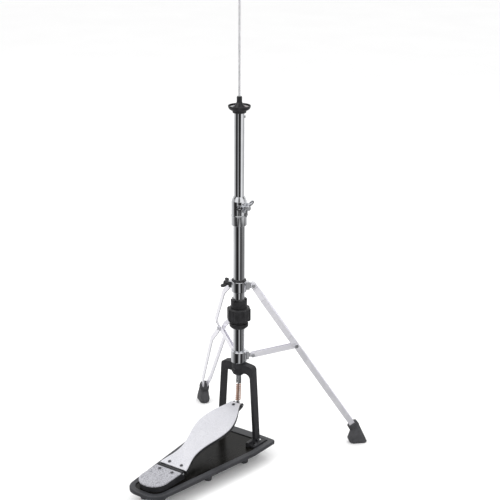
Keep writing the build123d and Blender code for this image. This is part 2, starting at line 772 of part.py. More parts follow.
ear_low = barrel_half + fit_gap
ear_thickness = 10.5
pin_plane = Plane(origin=(0, hinge_y, hinge_z), x_dir=(0, 1, 0), z_dir=(1, 0, 0))
with BuildPart() as heel_block:
    with BuildSketch(Plane(origin=(0, heel_rear_y, floor_of_pieces))) as block_outline:
        Rectangle(heel_plate_width - 3, heel_plate_length - 2, align=(Align.CENTER, Align.MAX))
        fillet(block_outline.vertices().group_by(Axis.Y)[0], heel_corner - 1.0)
    extrude(amount=heel_top_z)
    split(bisect_by=heel_plane, keep=Keep.BOTTOM)
    for side in (-1, 1):
        with BuildSketch(pin_plane.offset(side * ear_low)):
            Circle(7.0)
            with BuildLine():
                Polyline(
                    (-9, floor_of_pieces - hinge_z),
                    (7, floor_of_pieces - hinge_z),
                    (7, 0),
                    (-9, 0),
                    close=True,
                )
            make_face()
            Circle(hinge_pin_d / 2 + 0.01, mode=Mode.SUBTRACT)
        extrude(amount=side * ear_thickness)
    with BuildSketch(Plane.XY.offset(floor_of_pieces)):
        with Locations(*heel_bolt_places):
            Circle(2.6)
    extrude(amount=12, mode=Mode.SUBTRACT)
    with BuildSketch(heel_plane):
        with Locations(*heel_screw_places):
            Circle(2.1)
    extrude(amount=-10, mode=Mode.SUBTRACT)
save(heel_block, "heel_block")

with BuildPart() as hinge_pin:
    with BuildSketch(pin_plane.offset(-ear_low - ear_thickness - 3)):
        Circle(hinge_pin_d / 2)
    extrude(amount=2 * (ear_low + ear_thickness + 3))
    chamfer(hinge_pin.edges().group_by(Axis.X)[0], 0.7)
    chamfer(hinge_pin.edges().group_by(Axis.X)[-1], 0.7)
save(hinge_pin, "hinge_pin")

with BuildPart() as heel_bolts:
    with BuildSketch(Plane.XY.offset(base_bottom_z)):
        with Locations(*heel_bolt_places):
            Circle(2.55)
    extrude(amount=base_thickness + 8)
    with BuildSketch(Plane.XY.offset(base_bottom_z)):
        with Locations(*heel_bolt_places):
            Circle(4.6)
            RegularPolygon(2.0, 6, mode=Mode.SUBTRACT)
    extrude(amount=-4)
save(heel_bolts, "heel_bolts")

# ---------------------------------------------------------------- wing bolts


def wing_bolt(azimuth, seat_r, z, tilt, span, stand_off, depth, shank):
    """Bolt with two wings: its axis is radial, and tilt turns the wings about it."""
    level = cos(radians(tilt))
    face = Plane(
        origin=radial(azimuth, seat_r, z),
        x_dir=(*radial(azimuth + 90, level)[:2], sin(radians(tilt))),
        z_dir=radial(azimuth, 1),
    )
    wing_plane = Plane(origin=face.origin, x_dir=face.x_dir, z_dir=-face.y_dir)
    with BuildPart() as bolt:
        with BuildSketch(face):
            Circle(6.2)
        extrude(amount=stand_off + depth * 0.75, taper=4)
        with BuildSketch(face):
            Circle(2.95)
        extrude(amount=-shank)
        with BuildSketch(wing_plane) as wings:
            with BuildLine():
                Polyline(
                    (0, stand_off),
                    (span * 0.26, stand_off),
                    (span * 0.46, stand_off + depth * 0.30),
                    (span * 0.50, stand_off + depth),
                    (span * 0.30, stand_off + depth * 0.92),
                    (5, stand_off + depth * 0.45),
                    (0, stand_off + depth * 0.45),
                    close=True,
                )
            make_face()
            fillet(wings.vertices().group_by(Axis.X)[-1], 2.5)
            mirror(about=Plane.YZ)
        extrude(amount=2.2, both=True)
    return bolt


# ---------------------------------------------------------------- height clamp
clamp_radius = lower_tube_od / 2 + clamp_wall
clamp_overlap = 37.0
clamp_z = tube_top_z - clamp_overlap
clamp_ring_z = clamp_z + clamp_sleeve_height
clamp_shoulder_z = clamp_ring_z + 4.0 + clamp_body_height
clamp_top_z = clamp_shoulder_z + clamp_dome_height
clamp_bolt_z = clamp_ring_z + 25.0
clamp_bolt_azimuth = -4.0
clamp_screw_azimuth = -52.0
clamp_root_r = 12.0                                # the bosses start inside the tube's bore
clamp_bolt_seat_r = clamp_radius + 3.3
clamp_screw_seat_r = clamp_radius + 2.3
upper_tube_fit = upper_tube_od / 2 + fit_gap
with BuildPart() as clamp_body:
    with BuildSketch(Plane.XZ):
        with BuildLine():
            Polyline(
                (tube_fit, clamp_z),
                (clamp_radius - 1, clamp_z),
                (clamp_radius, clamp_z + 1),
                (clamp_radius, clamp_ring_z),
                (clamp_radius + 0.9, clamp_ring_z + 1),
                (clamp_radius + 0.9, clamp_ring_z + 3),
                (clamp_radius, clamp_ring_z + 4),
                (clamp_radius, clamp_shoulder_z),
                (clamp_radius - 3.2, clamp_top_z - 3.5),
                (upper_tube_fit + 0.8, clamp_top_z),
                (upper_tube_fit, clamp_top_z),
                (upper_tube_fit, clamp_top_z - 3),
                (tube_fit, clamp_top_z - 3),
                close=True,
            )
        make_face()
    revolve(axis=Axis.Z)
    bolt_face = Plane(
        origin=radial(clamp_bolt_azimuth, clamp_root_r, clamp_bolt_z),
        x_dir=(-sin(radians(clamp_bolt_azimuth)), cos(radians(clamp_bolt_azimuth)), 0),
        z_dir=radial(clamp_bolt_azimuth, 1),
    )
    with BuildSketch(bolt_face):
        RectangleRounded(19, 24, 4)
    extrude(amount=clamp_bolt_seat_r - clamp_root_r)
    screw_face = Plane(
        origin=radial(clamp_screw_azimuth, clamp_root_r, clamp_bolt_z),
        x_dir=(-sin(radians(clamp_screw_azimuth)), cos(radians(clamp_screw_azimuth)), 0),
        z_dir=radial(clamp_screw_azimuth, 1),
    )
    with BuildSketch(screw_face):
        Circle(7.0)
    extrude(amount=clamp_screw_seat_r - clamp_root_r)
    with BuildSketch(Plane.XY.offset(clamp_z)):
        Circle(tube_fit)
    extrude(amount=clamp_top_z - 3 - clamp_z, mode=Mode.SUBTRACT)
    with BuildSketch(bolt_face.offset(-clamp_root_r)):
        Circle(3.0)
    extrude(amount=40, mode=Mode.SUBTRACT)
    with BuildSketch(screw_face.offset(-clamp_root_r)):
        Circle(2.6)
    extrude(amount=40, mode=Mode.SUBTRACT)
    with BuildSketch(Plane.XY.offset(clamp_ring_z + 4)):
        with Locations(Location((0, 0), 180 + clamp_bolt_azimuth)):
            Rectangle(2 * clamp_radius, 2.0, align=(Align.MIN, Align.CENTER))
    extrude(amount=clamp_top_z, mode=Mode.SUBTRACT)
save(clamp_body, "clamp_body")

clamp_liner = tube(tube_fit - 0.04, upper_tube_fit, tube_top_z, clamp_top_z - 3)
with BuildPart() as clamp_liner_cut:
    add(clamp_liner.part)
    with BuildSketch(bolt_face.offset(-clamp_root_r)):
        Circle(3.3)
    extrude(amount=40, mode=Mode.SUBTRACT)
save(clamp_liner_cut, "clamp_liner")

with BuildPart() as clamp_screw:
    with BuildSketch(screw_face.offset(clamp_screw_seat_r - clamp_root_r)):
        Circle(5.4)
        RegularPolygon(2.4, 4, mode=Mode.SUBTRACT)
    extrude(amount=3.4, taper=8)
    with BuildSketch(screw_face.offset(tube_fit + 0.5 - clamp_root_r)):
        Circle(2.55)
    extrude(amount=clamp_screw_seat_r - tube_fit - 0.5)
save(clamp_screw, "clamp_screw")

clamp_wing_r = clamp_bolt_seat_r + 0.3
clamp_wing = wing_bolt(clamp_bolt_azimuth, clamp_wing_r, clamp_bolt_z, 49, 47, 2.0, 11.5,
                       clamp_wing_r - tube_fit - 0.6)
save(clamp_wing, "clamp_wing")

# ---------------------------------------------------------------- upper tube and seat
upper_tube_low = tube_top_z - upper_tube_engaged
screw_azimuth = 36.0
seat_screw_z = upper_tube_top_z - 14.0
with BuildPart() as upper_tube:
    with BuildSketch(Plane.XY.offset(upper_tube_low)):
        Circle(upper_tube_od / 2)
        Circle(upper_tube_od / 2 - tube_wall, mode=Mode.SUBTRACT)
    extrude(amount=upper_tube_top_z - upper_tube_low)
    seat_screw_face = Plane(origin=(0, 0, seat_screw_z), z_dir=radial(screw_azimuth, 1))
    with BuildSketch(seat_screw_face):
        Circle(2.0)
    extrude(amount=upper_tube_od, mode=Mode.SUBTRACT)
save(upper_tube, "upper_tube")

upper_bore = upper_tube_od / 2 - tube_wall - 0.05
skirt_bore = upper_tube_od / 2 + seat_gap
rod_way = rod_d / 2 + 0.6
with BuildPart() as seat_cup:
    with BuildSketch(Plane.XZ):
        with BuildLine():
            Line((rod_way, upper_tube_top_z - 24), (upper_bore, upper_tube_top_z - 24))
            Line((upper_bore, upper_tube_top_z - 24), (upper_bore, upper_tube_top_z))
            Line((upper_bore, upper_tube_top_z), (skirt_bore, upper_tube_top_z))
            Line((skirt_bore, upper_tube_top_z), (skirt_bore, upper_tube_top_z - 4))
            Line((skirt_bore, upper_tube_top_z - 4), (skirt_bore + 3.6, upper_tube_top_z - 4))
            Line((skirt_bore + 3.6, upper_tube_top_z - 4), (skirt_bore + 4.4, bowl_bottom_z))
            Line((skirt_bore + 4.4, bowl_bottom_z), (19.0, bowl_bottom_z))
            ThreePointArc((19.0, bowl_bottom_z), (25.6, bowl_bottom_z + 4.5), (seat_radius, rim_z - 1))
            ThreePointArc((seat_radius, rim_z - 1), (seat_radius - 1, rim_z), (seat_radius - 2, rim_z - 1))
            Line((seat_radius - 2, rim_z - 1), (seat_radius - 3.2, floor_z))
            Line((seat_radius - 3.2, floor_z), (14.5, floor_z))
            Line((14.5, floor_z), (hub_radius + 1.2, cone_top_z - 4))
            Line((hub_radius + 1.2, cone_top_z - 4), (hub_radius, cone_top_z - 2))
            Line((hub_radius, cone_top_z - 2), (hub_radius, hub_top_z - 1.5))
            Line((hub_radius, hub_top_z - 1.5), (hub_radius - 1.5, hub_top_z))
            Line((hub_radius - 1.5, hub_top_z), (4.6, hub_top_z))
            Line((4.6, hub_top_z), (4.6, hub_top_z - 10))
            Line((4.6, hub_top_z - 10), (rod_way, hub_top_z - 10))
            Line((rod_way, hub_top_z - 10), (rod_way, upper_tube_top_z - 24))
        make_face()
    revolve(axis=Axis.Z)
    with BuildSketch(seat_screw_face):
        Circle(2.0)
    extrude(amount=upper_tube_od, mode=Mode.SUBTRACT)
save(seat_cup, "seat_cup")

seat_washer = tube(seat_radius - 3.6, 14.9, floor_z, floor_z + 1.4)
save(seat_washer, "seat_washer")

top_bush = tube(4.58, running_rod_d / 2 + seat_gap, hub_top_z - 10, hub_top_z - 0.5)
save(top_bush, "top_bush")

with BuildPart() as seat_screw:
    with BuildSketch(seat_screw_face.offset(rod_way + 1.0)):
        Circle(1.97)
    extrude(amount=upper_tube_od / 2 - rod_way - 0.9)
    with BuildSketch(seat_screw_face.offset(upper_tube_od / 2 + 0.05)):
        Circle(3.2)
        RegularPolygon(1.5, 6, mode=Mode.SUBTRACT)
    extrude(amount=2.0)
save(seat_screw, "seat_screw")

# ---------------------------------------------------------------- collars
leg_azimuths = {"right": right_leg_azimuth, "left": left_leg_azimuth}
collar_bore = lower_tube_od / 2 + fit_gap


def radial_plane(azimuth):
    """Upright plane through the tube's axis: its X runs outward and its Y up."""
    return Plane(
        origin=(0, 0, 0),
        x_dir=radial(azimuth, 1),
        z_dir=(sin(radians(azimuth)), -cos(radians(azimuth)), 0),
    )


lower_lug = strut_width / 2 - strut_wall - fit_gap
lug_round = strut_height / 2 - strut_wall - 0.4
with BuildPart() as lower_collar:
    with BuildSketch(Plane.XY.offset(lower_collar_z)):
        Circle(collar_radius)
    extrude(amount=lower_collar_height)
    chamfer(lower_collar.edges(), 1.5)
    for azimuth in leg_azimuths.values():
        with BuildSketch(radial_plane(azimuth)):
            with Locations((strut_pivot_r, strut_pivot_z)):
                Circle(lug_round)
            with Locations((lower_tube_od / 2 + 2, strut_pivot_z)):
                Rectangle(strut_pivot_r - lower_tube_od / 2 - 2, 2 * lug_round,
                          align=(Align.MIN, Align.CENTER))
        extrude(amount=lower_lug, both=True)
        with BuildSketch(radial_plane(azimuth)):
            with Locations((lower_tube_od / 2 + 2, strut_pivot_z)):
                Rectangle(strut_pivot_r - 10.5 - lower_tube_od / 2 - 2, 21.0,
                          align=(Align.MIN, Align.CENTER))
        extrude(amount=6.5, both=True)
        with BuildSketch(radial_plane(azimuth)):
            with Locations((strut_pivot_r, strut_pivot_z)):
                Circle(pivot_d / 2)
        extrude(amount=10, both=True, mode=Mode.SUBTRACT)
    with BuildSketch(Plane.XY.offset(lower_collar_z)):
        Circle(collar_bore)
    extrude(amount=lower_collar_height, mode=Mode.SUBTRACT)
save(lower_collar, "lower_collar")


def pivot_bolts(r, z, half_grip):
    """One bolt per leg, lying across its lug, with a round head and a nut."""
    with BuildPart() as bolts:
        for azimuth in leg_azimuths.values():
            upright = radial_plane(azimuth)
            with BuildSketch(upright):
                with Locations((r, z)):
                    Circle(pivot_d / 2 - 0.01)
            extrude(amount=half_grip + fit_gap, both=True)
            for side in (-1, 1):
                with BuildSketch(upright.offset(side * (half_grip + fit_gap))):
                    with Locations((r, z)):
                        RegularPolygon(4.9, 6)
                extrude(amount=side * 3.2)
    return bolts


lower_pivots = pivot_bolts(strut_pivot_r, strut_pivot_z, strut_width / 2)
save(lower_pivots, "lower_pivot_bolts")

liner_thickness = 1.6
collar_bolt_azimuth = 191.0
collar_bolt_z = upper_collar_z + 17.0
collar_bolt_seat = 26.0
upper_lug = strap_pinch - fit_gap
upper_collar_radius = lower_tube_od / 2 + 4.7
collar_bolt_face = Plane(
    origin=radial(collar_bolt_azimuth, 12, collar_bolt_z),
    x_dir=(-sin(radians(collar_bolt_azimuth)), cos(radians(collar_bolt_azimuth)), 0),
    z_dir=radial(collar_bolt_azimuth, 1),
)
with BuildPart() as upper_collar:
    with BuildSketch(Plane.XY.offset(upper_collar_z)):
        Circle(upper_collar_radius)
    extrude(amount=upper_collar_height - 4)
    chamfer(upper_collar.edges(), 1.2)
    for azimuth in leg_azimuths.values():
        with BuildSketch(radial_plane(azimuth)):
            with Locations((leg_pivot_r, leg_pivot_z)):
                Circle(7.2)
            with Locations((lower_tube_od / 2 + 2, leg_pivot_z)):
                Rectangle(leg_pivot_r - lower_tube_od / 2 - 2, 14.4,
                          align=(Align.MIN, Align.CENTER))
        extrude(amount=upper_lug, both=True)
        with BuildSketch(radial_plane(azimuth)):
            with Locations((lower_tube_od / 2 + 2, leg_pivot_z)):
                Rectangle(leg_pivot_r - 9.5 - lower_tube_od / 2 - 2, 20.0,
                          align=(Align.MIN, Align.CENTER))
        extrude(amount=8.0, both=True)
        with BuildSketch(radial_plane(azimuth)):
            with Locations((leg_pivot_r, leg_pivot_z)):
                Circle(pivot_d / 2)
        extrude(amount=12, both=True, mode=Mode.SUBTRACT)
    with BuildSketch(collar_bolt_face):
        RectangleRounded(15, 20, 4)
    extrude(amount=collar_bolt_seat - fit_gap - 12)
    with BuildSketch(Plane.XY.offset(upper_collar_z)):
        Circle(collar_bore + liner_thickness + 0.02)
    extrude(amount=upper_collar_height, mode=Mode.SUBTRACT)
    with BuildSketch(collar_bolt_face):
        Circle(3.05)
    extrude(amount=20, mode=Mode.SUBTRACT)
save(upper_collar, "upper_collar")

with BuildPart() as collar_liner:
    with BuildSketch(Plane.XY.offset(upper_collar_z)):
        Circle(collar_bore + liner_thickness)
    extrude(amount=upper_collar_height)
    with BuildSketch(Plane.XY.offset(upper_collar_z + upper_collar_height - 4)):
        Circle(upper_collar_radius - 0.6)
    extrude(amount=4)
    chamfer(collar_liner.faces().sort_by(Axis.Z)[-1].edges(), 0.8)
    with BuildSketch(Plane.XY.offset(upper_collar_z)):
        Circle(collar_bore)
    extrude(amount=upper_collar_height, mode=Mode.SUBTRACT)
save(collar_liner, "collar_liner")

upper_pivots = pivot_bolts(leg_pivot_r, leg_pivot_z, strap_pinch + strap_thickness)
save(upper_pivots, "upper_pivot_bolts")

collar_bolt_reach = collar_bolt_seat - collar_bore - liner_thickness - 0.4
collar_wing = wing_bolt(collar_bolt_azimuth, collar_bolt_seat, collar_bolt_z, -22, 34, 5.0, 14.0,
                        collar_bolt_reach)
save(collar_wing, "collar_wing")

# ---------------------------------------------------------------- legs
foot_axis_top = leg_length                          # along the leg, from its pivot
foot_socket = 24.0
bend_radius = 9.0


def leg_plane(azimuth):
    """Frame of one leg: X runs down the leg from its pivot, Z is square to it, up and out."""
    lean = radians(leg_lean)
    along = (*radial(azimuth, sin(lean))[:2], -cos(lean))
    square = (*radial(azimuth, cos(lean))[:2], sin(lean))
    return Plane(origin=radial(azimuth, leg_pivot_r, leg_pivot_z), x_dir=along, z_dir=square)


def strap_path(side):
    """Middle of one strap: pinched at both pivots and at the foot, apart in between."""
    pinch = strap_pinch + strap_thickness / 2
    upper = upper_lens + strap_thickness / 2
    lower = lower_lens + strap_thickness / 2
    lower_end = lower_lens_end + strap_thickness / 2
    joint = leg_upper_length
    end = foot_axis_top + foot_socket - 1.0
    points = [
        (-strap_width / 2, pinch),
        (9.0, pinch),
        (42.0, upper),
        (joint - 36.0, upper),
        (joint - 10.0, pinch),
        (joint + 10.0, pinch),
        (joint + 46.0, lower),
        (foot_axis_top - 36.0, lower_end),
        (foot_axis_top - 6.0, pinch),
        (end, pinch),
    ]
    return [(x, side * y) for x, y in points]


def leg_straps(azimuth):
    """Two bent flat bars, mirrored about the leg's upright plane."""
    frame = leg_plane(azimuth)
    flat = Plane(origin=frame.origin, x_dir=frame.x_dir, z_dir=frame.y_dir)
    with BuildPart() as straps:
        with BuildSketch(frame):
            for side in (-1, 1):
                with BuildLine():
                    FilletPolyline(*strap_path(side), radius=bend_radius)
                trace(line_width=strap_thickness)
        extrude(amount=strap_width / 2, both=True)
        with BuildSketch(flat):
            with Locations((-strap_width / 2, 0)):
                SlotOverall(foot_axis_top + foot_socket + strap_width, strap_width,
                            align=(Align.MIN, Align.CENTER))
        extrude(amount=upper_lens + 3 * strap_thickness, both=True, mode=Mode.INTERSECT)
        with BuildSketch(flat):
            with Locations((0, 0), (leg_upper_length, 0)):
                Circle(pivot_d / 2 + seat_gap)
        extrude(amount=upper_lens, both=True, mode=Mode.SUBTRACT)
    return straps


def joint_rivets(azimuth):
    """Shoulder rivets of the middle joint, one in each strap."""
    frame = leg_plane(azimuth)
    flat = Plane(origin=frame.origin, x_dir=frame.x_dir, z_dir=frame.y_dir)
    with BuildPart() as rivets:
        for side in (-1, 1):
            with BuildSketch(flat.offset(side * strap_pinch)):
                with Locations((leg_upper_length, 0)):
                    Circle(pivot_d / 2)
            extrude(amount=side * strap_thickness)
            with BuildSketch(flat.offset(side * (strap_pinch + strap_thickness))):
                with Locations((leg_upper_length, 0)):
                    RegularPolygon(4.9, 6)
            extrude(amount=side * 3.2)
    return rivets


def rubber_foot(azimuth):
    """Moulded foot: a flat sole, a swelling body and a ribbed neck around the straps."""
    frame = leg_plane(azimuth)
    neck_plane = Plane(
        origin=frame.from_local_coords((foot_axis_top, 0, 0)),
        x_dir=frame.z_dir,
        z_dir=frame.x_dir,
    )
    sole_centre = foot_top_r + 19.0
    with BuildPart() as foot:
        for lift, length, width in ((0.0, 42.0, 21.0), (3.0, 47.0, 26.0), (12.0, 47.0, 27.0)):
            outward = sole_centre - lift * 0.4
            with BuildSketch(Plane(origin=radial(azimuth, outward, lift), x_dir=radial(azimuth, 1),
                                   z_dir=(0, 0, 1))):
                RectangleRounded(length, width, 9)
        with BuildSketch(neck_plane.offset(16)):
            RectangleRounded(27, 22.5, 8.5)
        with BuildSketch(neck_plane):
            RectangleRounded(25, 20.5, 8)
        loft(ruled=True)
        for step in (1.5, 6.5, 11.5):
            with BuildSketch(neck_plane.offset(step)):
                RectangleRounded(27.6 + step * 0.12, 23.2 + step * 0.12, 9)
            extrude(amount=2.4)
        with BuildSketch(neck_plane):
            with Locations((0, strap_pinch + strap_thickness / 2), (0, -strap_pinch - strap_thickness / 2)):
                Rectangle(strap_width + 0.1, strap_thickness + 0.1)
        extrude(amount=foot_socket, mode=Mode.SUBTRACT)
    return foot


def strut(azimuth):
    """Channel from the lower collar to the leg's middle joint, open at the top."""
    rise = radians(strut_rise)
    outward = (*radial(azimuth, cos(rise))[:2], sin(rise))
    up = (*radial(azimuth, -sin(rise))[:2], cos(rise))
    side = Plane(
        origin=radial(azimuth, strut_pivot_r, strut_pivot_z), x_dir=outward,
        z_dir=(sin(radians(azimuth)), -cos(radians(azimuth)), 0),
    )
    above = Plane(origin=side.origin, x_dir=outward, z_dir=up)
    with BuildPart() as channel:
        with BuildSketch(side):
            with Locations((strut_length / 2, 0)):
                SlotCenterToCenter(strut_length, strut_height)
        extrude(amount=strut_width / 2, both=True)
        with BuildSketch(above.offset(-strut_height / 2 + strut_wall)):
            with Locations((-strut_height, 0)):
                Rectangle(strut_length + 2 * strut_height, strut_width - 2 * strut_wall,
                          align=(Align.MIN, Align.CENTER))
        extrude(amount=strut_height, mode=Mode.SUBTRACT)
        with BuildSketch(above.offset(-strut_height / 2)):
            with Locations((-strut_height, 0)):
                Rectangle(strut_height - 1.0, strut_width - 2 * strut_wall,
                          align=(Align.MIN, Align.CENTER))
        extrude(amount=strut_height, mode=Mode.SUBTRACT)
        with BuildSketch(side):
            Circle(pivot_d / 2 + seat_gap)
            with Locations((strut_length, 0)):
                Circle(pivot_d / 2 + seat_gap)
        extrude(amount=strut_width, both=True, mode=Mode.SUBTRACT)
    return channel


for name, azimuth in leg_azimuths.items():
    save(leg_straps(azimuth), f"{name}_leg_straps")
    save(joint_rivets(azimuth), f"{name}_leg_rivets")
    save(rubber_foot(azimuth), f"{name}_leg_foot")
    save(strut(azimuth), f"{name}_strut")
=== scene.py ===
"""Hi-hat stand: materials, rounded edges, floor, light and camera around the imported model."""
from math import pi, radians

import bmesh
import bpy
from mathutils import Matrix, Vector


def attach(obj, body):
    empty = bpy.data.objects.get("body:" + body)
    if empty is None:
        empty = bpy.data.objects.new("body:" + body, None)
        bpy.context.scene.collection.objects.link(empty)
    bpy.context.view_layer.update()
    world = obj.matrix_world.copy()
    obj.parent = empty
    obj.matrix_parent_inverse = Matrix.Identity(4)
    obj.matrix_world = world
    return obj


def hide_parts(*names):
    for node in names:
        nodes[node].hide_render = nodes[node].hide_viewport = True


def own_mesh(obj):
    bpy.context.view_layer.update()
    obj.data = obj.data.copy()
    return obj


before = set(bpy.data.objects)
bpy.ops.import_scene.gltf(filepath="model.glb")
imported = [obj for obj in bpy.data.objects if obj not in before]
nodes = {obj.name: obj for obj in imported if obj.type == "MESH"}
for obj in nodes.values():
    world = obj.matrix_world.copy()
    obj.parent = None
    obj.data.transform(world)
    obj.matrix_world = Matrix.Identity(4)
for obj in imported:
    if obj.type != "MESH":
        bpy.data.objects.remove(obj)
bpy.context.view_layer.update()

MM = 0.001


# ---------------------------------------------------------------- node helpers
class Surface:
    """A principled material whose colour, roughness and relief are built up from noise."""

    def __init__(self, name, metallic=0.0):
        self.material = bpy.data.materials.new(name)
        self.material.use_nodes = True
        self.tree = self.material.node_tree
        self.shader = self.tree.nodes["Principled BSDF"]
        self.shader.inputs["Metallic"].default_value = metallic
        self.place = self.tree.nodes.new("ShaderNodeTexCoord").outputs["Object"]
        self.normal = None

    def noise(self, size, detail=3.0, roughness=0.55, stretch=(1.0, 1.0, 1.0), distortion=0.0):
        """Noise whose blobs are about size metres across, longer where stretch is above 1."""
        mapping = self.tree.nodes.new("ShaderNodeMapping")
        mapping.inputs["Scale"].default_value = [1.0 / s for s in stretch]
        self.tree.links.new(self.place, mapping.inputs["Vector"])
        texture = self.tree.nodes.new("ShaderNodeTexNoise")
        texture.inputs["Scale"].default_value = 1.0 / size
        texture.inputs["Detail"].default_value = detail
        texture.inputs["Roughness"].default_value = roughness
        texture.inputs["Distortion"].default_value = distortion
        self.tree.links.new(mapping.outputs["Vector"], texture.inputs["Vector"])
        return texture.outputs["Fac"]

    def cells(self, size, stretch=(1.0, 1.0, 1.0)):
        """Distance to the nearest of many scattered points, about size metres apart."""
        mapping = self.tree.nodes.new("ShaderNodeMapping")
        mapping.inputs["Scale"].default_value = [1.0 / s for s in stretch]
        self.tree.links.new(self.place, mapping.inputs["Vector"])
        texture = self.tree.nodes.new("ShaderNodeTexVoronoi")
        texture.inputs["Scale"].default_value = 1.0 / size
        self.tree.links.new(mapping.outputs["Vector"], texture.inputs["Vector"])
        return texture.outputs["Distance"]

    def spread(self, value, low, high, start=0.3, end=0.7):
        """The value between start and end becomes one between low and high."""
        change = self.tree.nodes.new("ShaderNodeMapRange")
        change.inputs["From Min"].default_value = start
        change.inputs["From Max"].default_value = end
        change.inputs["To Min"].default_value = low
        change.inputs["To Max"].default_value = high
        self.tree.links.new(value, change.inputs["Value"])
        return change.outputs["Result"]

    def colours(self, value, stops):
        """Colour by value; stops is a list of (value, colour)."""
        ramp = self.tree.nodes.new("ShaderNodeValToRGB")
        points = ramp.color_ramp.elements
        while len(points) < len(stops):
            points.new(0.5)
        for point, (at, colour) in zip(points, stops):
            point.position = at
            point.color = (*colour, 1.0)
        self.tree.links.new(value, ramp.inputs["Fac"])
        return ramp.outputs["Color"]

    def mixed(self, amount, first, second, kind="MIX"):
        """Two colours mixed by a value."""
        mix = self.tree.nodes.new("ShaderNodeMix")
        mix.data_type = "RGBA"
        mix.blend_type = kind
        if isinstance(amount, float):
            mix.inputs["Factor"].default_value = amount
        else:
            self.tree.links.new(amount, mix.inputs["Factor"])
        self.tree.links.new(first, mix.inputs["A"])
        self.tree.links.new(second, mix.inputs["B"])
        return mix.outputs["Result"]

    def base(self, colour):
        self.tree.links.new(colour, self.shader.inputs["Base Color"])

    def rough(self, value):
        self.tree.links.new(value, self.shader.inputs["Roughness"])

    def relief(self, height, depth, strength=1.0):
        """Adds bumps depth metres high on top of the relief so far."""
        bump = self.tree.nodes.new("ShaderNodeBump")
        bump.inputs["Strength"].default_value = strength
        bump.inputs["Distance"].default_value = depth
        self.tree.links.new(height, bump.inputs["Height"])
        if self.normal is not None:
            self.tree.links.new(self.normal, bump.inputs["Normal"])
        self.normal = bump.outputs["Normal"]
        self.tree.links.new(self.normal, self.shader.inputs["Normal"])


# ---------------------------------------------------------------- materials
def chrome():
    """Bright plating: nearly a mirror, with faint smudges and a slight ripple."""
    s = Surface("chrome_plate", metallic=1.0)
    smudge = s.noise(0.035, detail=4.0)
    fine = s.noise(0.0012, detail=2.0)
    s.base(s.colours(smudge, [(0.3, (0.74, 0.75, 0.78)), (0.7, (0.84, 0.85, 0.87))]))
    s.rough(s.spread(smudge, 0.02, 0.07))
    s.relief(fine, 0.00002, 0.12)
    s.relief(smudge, 0.0004, 0.05)
    return s.material


def strap_chrome():
    """Plated flat bar: the rolled steel under it makes the shine softer than on a tube."""
    s = Surface("strap_plate", metallic=0.6)
    smudge = s.noise(0.02, detail=5.0)
    rolled = s.noise(0.0016, detail=2.0, stretch=(1.0, 1.0, 7.0))
    s.base(s.colours(smudge, [(0.3, (0.87, 0.86, 0.92)), (0.7, (0.95, 0.94, 0.98))]))
    s.rough(s.spread(smudge, 0.14, 0.26))
    s.relief(rolled, 0.00004, 0.25)
    return s.material


def rod_steel():
    """The long pull rod: bright ground steel, satin rather than a mirror."""
    s = Surface("rod_steel", metallic=0.7)
    ground = s.noise(0.0014, detail=3.0, stretch=(1.0, 1.0, 20.0))
    s.base(s.colours(ground, [(0.3, (0.72, 0.72, 0.74)), (0.7, (0.88, 0.88, 0.90))]))
    s.rough(s.spread(ground, 0.22, 0.34))
    s.relief(ground, 0.00002, 0.2)
    return s.material


def black_cast():
    """Cast metal under satin black powder coat, with a fine orange peel."""
    s = Surface("black_powder_coat")
    broad = s.noise(0.02, detail=4.0)
    peel = s.noise(0.0011, detail=2.0)
    s.base(s.colours(broad, [(0.3, (0.014, 0.014, 0.016)), (0.7, (0.024, 0.024, 0.027))]))
    s.rough(s.spread(broad, 0.38, 0.52))
    s.shader.inputs["Specular IOR Level"].default_value = 0.32
    s.relief(peel, 0.00012, 0.5)
    return s.material


def base_cast():
    """The base's rim: the same coat over a coarser, sandy casting."""
    s = Surface("black_rim_coat")
    broad = s.noise(0.03, detail=4.0)
    grain = s.cells(0.0019)
    fine = s.noise(0.0007, detail=3.0)
    s.base(s.colours(broad, [(0.3, (0.022, 0.023, 0.027)), (0.7, (0.036, 0.037, 0.043))]))
    s.rough(s.spread(broad, 0.46, 0.6))
    s.relief(grain, 0.00025, 0.5)
    s.relief(fine, 0.00012, 0.4)
    return s.material


def gloss_panel():
    """The base's sunk panel: gloss black enamel with light dust and wipe marks."""
    s = Surface("black_enamel")
    wipe = s.noise(0.012, detail=6.0, stretch=(1.0, 6.0, 1.0), distortion=0.6)
    dust = s.noise(0.0009, detail=2.0)
    s.base(s.colours(wipe, [(0.3, (0.004, 0.004, 0.003)), (0.75, (0.009, 0.008, 0.007))]))
    s.rough(s.spread(wipe, 0.16, 0.30))
    s.relief(dust, 0.00003, 0.2)
    s.shader.inputs["Specular IOR Level"].default_value = 0.10
    return s.material


def black_plastic():
    """Moulded nylon: satin black with a fine spark-eroded texture."""
    s = Surface("moulded_black")
    broad = s.noise(0.012, detail=3.0)
    spark = s.noise(0.0006, detail=3.0)
    s.base(s.colours(broad, [(0.3, (0.012, 0.012, 0.013)), (0.7, (0.022, 0.022, 0.024))]))
    s.rough(s.spread(broad, 0.34, 0.48))
    s.shader.inputs["Specular IOR Level"].default_value = 0.28
    s.relief(spark, 0.00010, 0.45)
    return s.material


def rubber():
    """Grey-black rubber with a dry bloom and a pebbled skin."""
    s = Surface("foot_rubber")
    bloom = s.noise(0.009, detail=5.0)
    pebble = s.noise(0.0008, detail=2.0)
    s.base(s.colours(bloom, [(0.3, (0.032, 0.032, 0.035)), (0.7, (0.055, 0.055, 0.060))]))
    s.rough(s.spread(bloom, 0.62, 0.80))
    s.relief(pebble, 0.00014, 0.45)
    return s.material


